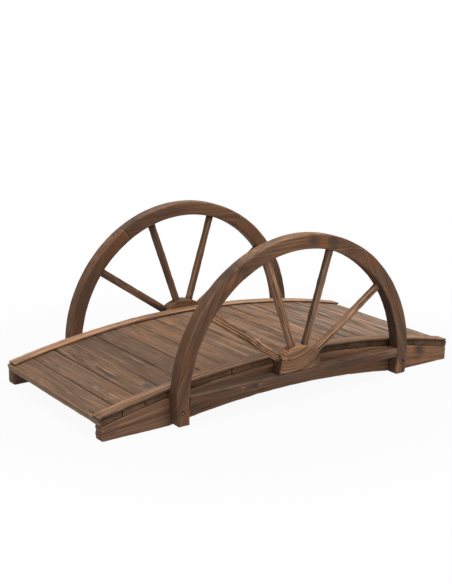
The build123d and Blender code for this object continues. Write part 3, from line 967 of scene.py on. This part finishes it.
for side_name, side, wheel_seed in (("front", -1, 600), ("back", 1, 800)):
    is_front = side < 0
    joint = on_circle(RIM_INNER + RIM_WIDE / 2, np.array(RIM_JOINT))
    face = side * WHEEL_THICK / 2
    left_tight = NO_WEAR if is_front else 0
    wheel_tone = 1.05 if is_front else 1.02
    for end, turn, seed in (("left", -1, wheel_seed + 1), ("right", 1, wheel_seed + 23)):
        timber(
            f"wheel_{side_name}_rim_{end}", "wheel_wood", (SIDE_LENGTH, RIM_WIDE, WHEEL_THICK), (110, 16, 13),
            in_wheel(side_rim(turn), side), seed, edge=RIM_EDGE, ends=(JOINT_EDGE, FOOT_EDGE),
            tight=(left_tight, 0), pith=(0.03, 0.05), rough_end=0, end_dark=0.1, wear=0.5,
            grain=rim_grain((turn * joint[0], joint[1]), (turn * LEG_MIDDLE, 0.01)),
            tone=wheel_tone * (0.96 if turn < 0 else 1.05),
            pits=((BOLT_ALONG, BOLT_ACROSS, side, PIT_RADIUS, PIT_DEPTH),),
            extra=(BOLT_ALONG + PIT_CUTS, BOLT_ACROSS + PIT_CUTS, ()),
            marks=(
                (SCUFF, 0.6, -0.2, OUTER, 0.005 * side, 0.03, 0.01, 0.012),
                (SCUFF, 1.9, 0.262, INNER, face, 0.03, 0.007, 0.01),
                (WARM, 1, 0.262, -0.012, face, 0.03, 0.016),
                (DIRT_AND_SHADE, 0.9, 0.28, 0, 0, 0.005, 0.1, 0.1),
                (SCUFF, 0.8, -0.06 if turn < 0 else 0.02, turn * INNER, face, 0.14, 0.006, 0.006),
                (WARM, 0.7, 0.07 if turn < 0 else -0.02, turn * -0.015, face, 0.06, 0.014),
                (DIRT_AND_SHADE, 0 if turn < 0 else 0.3, 0.2, 0, face, 0.06, 0.03, 0.03),
                (WARM, 0.5, -0.22, 0, face, 0.05, 0.05, 0.03),
                *RIM_MARKS[side_name, end],
            ),
        )
    timber(
        f"wheel_{side_name}_rim_top", "wheel_wood", (TOP_LENGTH, RIM_WIDE, WHEEL_THICK), (120, 16, 13),
        in_wheel(top_rim, side), wheel_seed + 41, edge=RIM_EDGE, ends=(JOINT_EDGE, JOINT_EDGE),
        tight=(left_tight, NO_WEAR), pith=(0.02, 0.07), grain=rim_grain((-joint[0], joint[1]), joint),
        rough_end=0, end_dark=0.1, wear=0.35, tone=(1.25 if is_front else 1.12) * wheel_tone,
        knots=((-0.25, OUTER, 0.005, 0.003),),
        marks=(
            (DIRT_AND_SHADE, 0.8, 0.044, 0.005, face, 0.024, 0.03),
            (DIRT_AND_SHADE, 0.8, 0.138, 0, face, 0.024, 0.03),
            (WARM, 0.9, 0.092, -0.01, face, 0.018, 0.03),
            (SCUFF, 0.3, -0.06, 0, face, 0.08, 0.05),
            (DIRT_AND_SHADE, 0.35, -0.2, 0.01, face, 0.04, 0.02),
            *RIM_MARKS[side_name, "top"],
            (DIRT_AND_SHADE, 0.6, 0.235, 0, face, 0.06, 0.03),
            (WARM, 0.5, 0.245, 0, face, 0.03, 0.03),
        ),
    )
    timber(
        f"wheel_{side_name}_rail", "wheel_wood", (2 * RIM_INNER, RAIL_DEEP, WHEEL_THICK), (190, 12, 13),
        in_wheel(straight((0, RAIL_LOW + RAIL_DEEP / 2), 0.0), side), wheel_seed + 59, edge=RAIL_EDGE,
        ends=(JOINT_EDGE, JOINT_EDGE), tight=(NO_WEAR, NO_WEAR), pith=(0.01, 0.08), tilt=0.01, rough_end=0,
        tone=0.95, warm=0.15, wear=0.35, wood="rail_wood", knots=((-0.194, 0, face, 0.01),),
        marks=(
            # Darker top face to the right of the hub: partly dirt, partly painted shade.
            (DIRT_AND_SHADE, 0.6, 0.2, RAIL_DEEP / 2, 0, 0.13, 0.014, 0.05),
            (SCUFF, 0.7, -0.241, 0.003, face, 0.008, 0.006, 0.01),
            (SCUFF, 0.8, -0.172, 0.001, face, 0.008, 0.005, 0.01),
            (SCUFF, 0.5, -0.2, -0.011, face, 0.012, 0.004, 0.01),
            (SCUFF, 0.35, -0.228, 0.012, face, 0.014, 0.005, 0.01),
            (DIRT_AND_SHADE, 0.5, -0.205, 0, face, 0.03, 0.012, 0.01),
            (WARM, 0.6, -0.15, -RAIL_DEEP / 2, face, 0.2, 0.008, 0.01),
            (SCUFF, 0.45, 0.42, 0, face, 0.06, 0.03, 0.01),
            # Darker top face to the left of the hub: partly dirt, partly painted shade.
            (DIRT_AND_SHADE, 0.9, -0.25, RAIL_DEEP / 2, 0, 0.22, 0.008, 0.03),
            (DIRT_AND_SHADE, 0.35, -0.1, 0, face, 0.08, 0.03),
            (WARM, 0.5, 0.28, 0, face, 0.2, 0.05, 0.01),
            # Darker front face to the right of the hub: partly painted shade near the hub, partly dirt.
            (DIRT_AND_SHADE, 0.55, 0.22, 0, face, 0.14, 0.03),
        ),
    )
    timber(
        f"wheel_{side_name}_hub", "wheel_wood", (HUB_WIDE, HUB_HIGH, WHEEL_THICK), (40, 20, 12),
        in_wheel(hub, side), wheel_seed + 71, edge=0.003, grain=hub_grain, pith=(0, 0), end_dark=0.0,
        tone=1.05 if is_front else 0.55, warm=0.15, wood="hub_wood", wear=0.5,
        figure=lambda local: np.clip(0.70 - 1.3 * local[:, 0] / HUB_WIDE, 0.15, 1.0),
        knots=((-0.05, 0.01, face, 0.004),),
        marks=(
            # Painted shade on the hub's left side face.
            (DIRT_AND_SHADE, 0.9, -HUB_WIDE / 2, 0, 0, 0.003, 0.1, 0.05),
            (DIRT_AND_SHADE, 0.8, HUB_WIDE / 2, 0, face, 0.044, 0.05),
        ),
    )
    spoke_tones = (2.3, 1.65, 1.10, 1.60) if is_front else (0.95, 0.62, 1.05, 1.7)
    for index, (degrees, lift) in enumerate(SPOKES):
        angle = math.radians(degrees)
        way = np.array([math.cos(angle), math.sin(angle)])
        foot = np.array([0, WHEEL_HEIGHT + lift])
        ahead = lift * way[1]
        begin = -ahead + math.sqrt(ahead**2 - lift**2 + HUB_RADIUS**2) - SPOKE_INTO_HUB
        stop = -ahead + math.sqrt(ahead**2 - lift**2 + RIM_INNER**2) + SPOKE_INTO_RIM
        length = stop - begin
        cracks, marks = spoke_wear(index, side, length)
        timber(
            f"wheel_{side_name}_spoke_{index + 1}", "spoke_wood", (length, SPOKE_WIDE, SPOKE_THICK),
            (90, 11, 7), in_wheel(straight(foot + way * (begin + stop) / 2, angle), side),
            wheel_seed + 83 + 9 * index, edge=RIM_EDGE, pith=(0.012, 0.02), splits=cracks, chips=0.002,
            tone=spoke_tones[index], end_dark=0.2, marks=marks,
            shape=torn_edge(length) if is_front and index == 0 else None,
        )


# Bolts.

BOLT_SIDES = 48
WASHER_RADIUS, WASHER_TOP, HEAD_RADIUS = 0.0052, 0.0048, 0.0035


def bolt(name, x, side):
    """A hexagon head on a round washer, set in the leg's recess."""
    turn = np.arange(BOLT_SIDES) * 2 * math.pi / BOLT_SIDES
    sixth = math.pi / 6
    hexagon = HEAD_RADIUS * np.cos(sixth) / np.cos((turn + sixth) % (2 * sixth) - sixth)
    # Radius, and height over the leg's face, from the washer's foot to the middle of the head.
    profile = (
        (WASHER_RADIUS, -0.0064), (WASHER_RADIUS, -0.0056), (WASHER_TOP, -0.0052), (1.02 * hexagon, -0.0052),
        (hexagon, -0.0050), (hexagon, -0.0030), (0.96 * hexagon, -0.0026), (0.0026, -0.0022),
        (0.0014, -0.0021), (0.0004, -0.0021),
    )
    rings = []
    for radius, height in profile:
        y = np.full(BOLT_SIDES, side * (HALF_WIDTH + WHEEL_THICK + height))
        rings.append(np.stack([x + radius * np.cos(turn), y, BOLT_Z + radius * np.sin(turn)], axis=1))
    faces = []
    for row in range(len(rings) - 1):
        this, above = row * BOLT_SIDES, (row + 1) * BOLT_SIDES
        for n in range(BOLT_SIDES):
            m = (n + 1) % BOLT_SIDES
            faces.append((this + n, this + m, above + m, above + n))
    faces += [tuple(range(BOLT_SIDES))[::-1], tuple(range(above, above + BOLT_SIDES))]
    if side > 0:
        faces = [face[::-1] for face in faces]
    mesh = bpy.data.meshes.new(name)
    mesh.from_pydata(np.concatenate(rings).tolist(), [], faces)
    mesh.materials.append(bolt_metal)
    piece = add_object(name, mesh)
    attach(piece, "root")


for side_name, side in (("front", -1), ("back", 1)):
    for end, turn in (("left", -1), ("right", 1)):
        bolt(f"bolt_{side_name}_{end}", turn * BOLT_X, side)


# Floor and light.

FLOOR_REACH = 6.0
FLOOR_GREY = (0.62, 0.62, 0.62, 1)
WHITE = (1, 1, 1, 1)
SOFT_WHITE = (1.0, 0.99, 0.98, 1)
SHADOW_NEAR, SHADOW_FAR = 0.7, 1.7
SHADOW_SHARE = 0.94


def seen(net):
    """1 for a ray from the camera, and for one seen in a reflection or through glass."""
    path = net.add("LightPath").outputs
    mirrored = net.math("MAXIMUM", path["Is Glossy Ray"], path["Is Transmission Ray"])
    return net.math("MAXIMUM", path["Is Camera Ray"], mirrored)


def make_floor():
    """A white floor that keeps a soft shadow and runs out into the white background."""
    mesh = bpy.data.meshes.new("floor")
    corners = [(FLOOR_REACH * x, FLOOR_REACH * y, 0) for x, y in ((-1, -1), (1, -1), (1, 1), (-1, 1))]
    mesh.from_pydata(corners, [], [(0, 1, 2, 3)])
    net = Nodes(bpy.data.materials.new("floor_white"))
    net.tree.nodes.clear()
    diffuse = net.add("BsdfDiffuse", FLOOR_GREY)
    glow = net.add("Emission", WHITE, 1.0)
    distance = net.vector("LENGTH", net.add("TexCoord").outputs["Object"])
    fade = net.spread(distance, SHADOW_NEAR, SHADOW_FAR, SHADOW_SHARE, 1.0)
    share = net.math("MULTIPLY", seen(net), fade)
    mixed = net.add("MixShader", share, diffuse.outputs[0], glow.outputs[0])
    net.add("OutputMaterial", mixed.outputs[0])
    mesh.materials.append(net.owner)
    floor = add_object("floor", mesh)


def make_world(ambient):
    """White to the camera, and a soft even light on the bridge."""
    net = Nodes(bpy.data.worlds.new("studio"))
    net.tree.nodes.clear()
    soft = net.add("Background", SOFT_WHITE, ambient)
    white = net.add("Background", WHITE, 1.0)
    mixed = net.add("MixShader", seen(net), soft.outputs[0], white.outputs[0])
    net.add("OutputWorld", mixed.outputs[0])
    bpy.context.scene.world = net.owner


def lamp(name, azimuth, elevation, distance, size, power):
    """A soft square lamp that faces the bridge."""
    data = bpy.data.lights.new(name, "AREA")
    data.size = size
    data.energy = power
    back = towards(azimuth, elevation)
    piece = add_object(name, data)
    piece.location = Vector((0, 0, 0.25)) + back * distance
    piece.rotation_mode = "QUATERNION"
    piece.rotation_quaternion = back.to_track_quat("Z", "Y")


make_floor()
make_world(0.15)
lamp("key", 28, 55, 4.0, 2.6, 46)
lamp("top", -20, 80, 4.0, 3.0, 124)
bpy.context.scene.view_settings.view_transform = "Standard"
